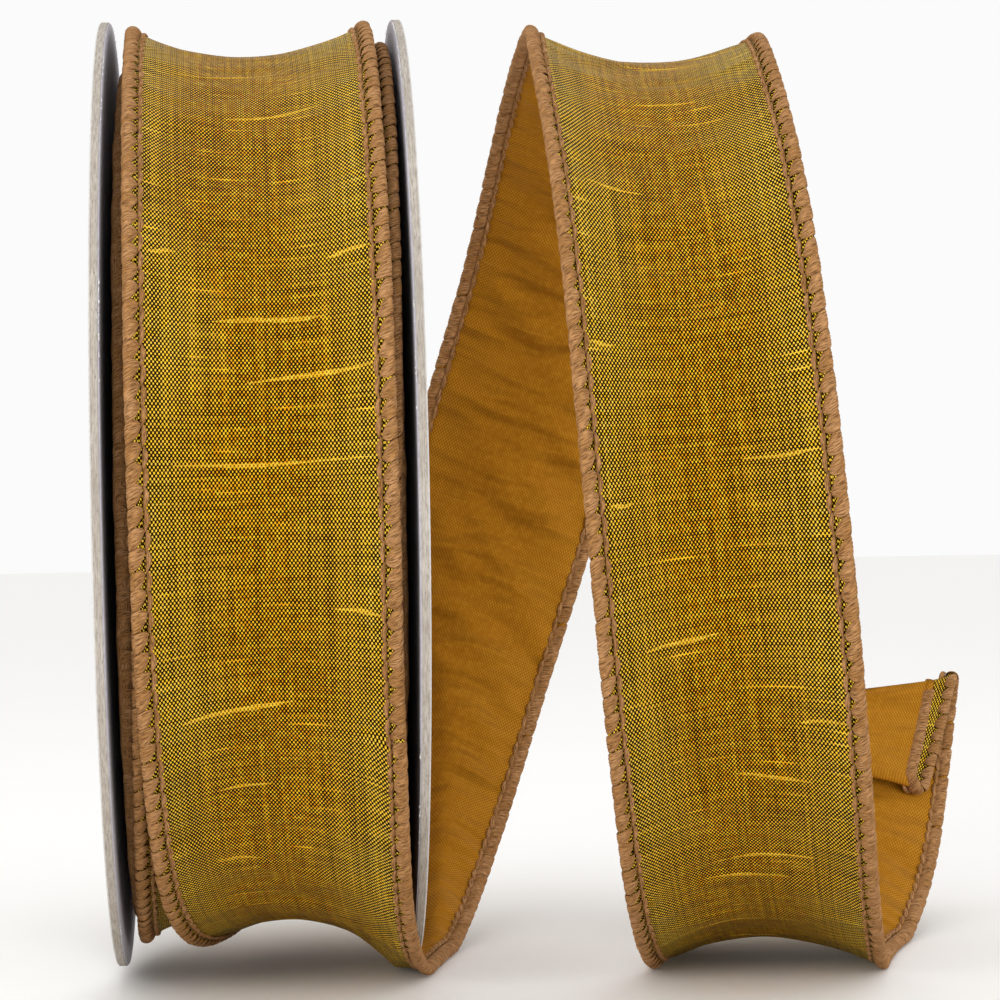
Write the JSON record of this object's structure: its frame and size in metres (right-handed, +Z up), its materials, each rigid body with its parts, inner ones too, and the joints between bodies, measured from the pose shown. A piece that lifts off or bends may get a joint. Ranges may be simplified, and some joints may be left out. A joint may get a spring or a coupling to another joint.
{
  "type": "ribbon spool",
  "caption": "Spool of wired-edge ribbon: two board flanges on a tube core hold the wound ribbon, and its loose end stands beside the spool in open loops.",
  "frame": {"origin": "centre of the dowel bore, midway between the flanges", "axes": "+X along the spool's axis towards the side where the loose ribbon leaves it; +Z up; the front of the spool is -Y"},
  "size_m": [0.1385, 0.1459, 0.1416],
  "materials": {
    "flange_board": "grey-brown chipboard, cut edge, unsealed",
    "outer_paper": "white liner paper, matt",
    "inner_paper": "pale grey liner paper, matt",
    "tube_board": "spiral-wound brown board",
    "kraft_wrap": "smooth kraft paper",
    "hot_melt": "cloudy amber glue",
    "paper_tape": "creped masking paper",
    "woven_ribbon": "plain weave of golden-yellow weft on dark warp, slubbed, soft sheen",
    "overlock_thread": "tan spun thread, overlocked over a wire",
    "edge_wire": "thin drawn steel wire"
  },
  "bodies": {
    "ribbon": {"second_turn_web": "woven_ribbon", "second_turn_left_edge": "overlock_thread", "second_turn_right_edge": "overlock_thread", "loose_turn_web": "woven_ribbon", "loose_turn_left_edge": "overlock_thread", "loose_turn_right_edge": "overlock_thread", "tail_rise_web": "woven_ribbon", "tail_rise_left_edge": "overlock_thread", "tail_rise_right_edge": "overlock_thread", "tail_fall_web": "woven_ribbon", "tail_fall_left_edge": "overlock_thread", "tail_fall_right_edge": "overlock_thread", "tail_curl_web": "woven_ribbon", "tail_curl_left_edge": "overlock_thread", "tail_curl_right_edge": "overlock_thread", "left_edge_wire": "edge_wire", "right_edge_wire": "edge_wire", "folded_end_web": "woven_ribbon", "folded_end_left_edge": "overlock_thread", "folded_end_right_edge": "overlock_thread"},
    "spool": {"left_flange_board": "flange_board", "right_flange_board": "flange_board", "left_outer_liner": "outer_paper", "right_outer_liner": "outer_paper", "left_inner_liner": "inner_paper", "right_inner_liner": "inner_paper", "core_tube": "tube_board", "core_wrap": "kraft_wrap", "left_glue_fillet": "hot_melt", "right_glue_fillet": "hot_melt", "start_tape": "paper_tape", "wound_web": "woven_ribbon", "wound_left_edge": "overlock_thread", "wound_right_edge": "overlock_thread"}
  },
  "joints": [
    {"name": "spool_turn", "type": "hinge", "parent": "ribbon", "child": "spool", "pos_m": [0, 0, 0], "axis": [1, 0, 0], "continuous": true}
  ]
}
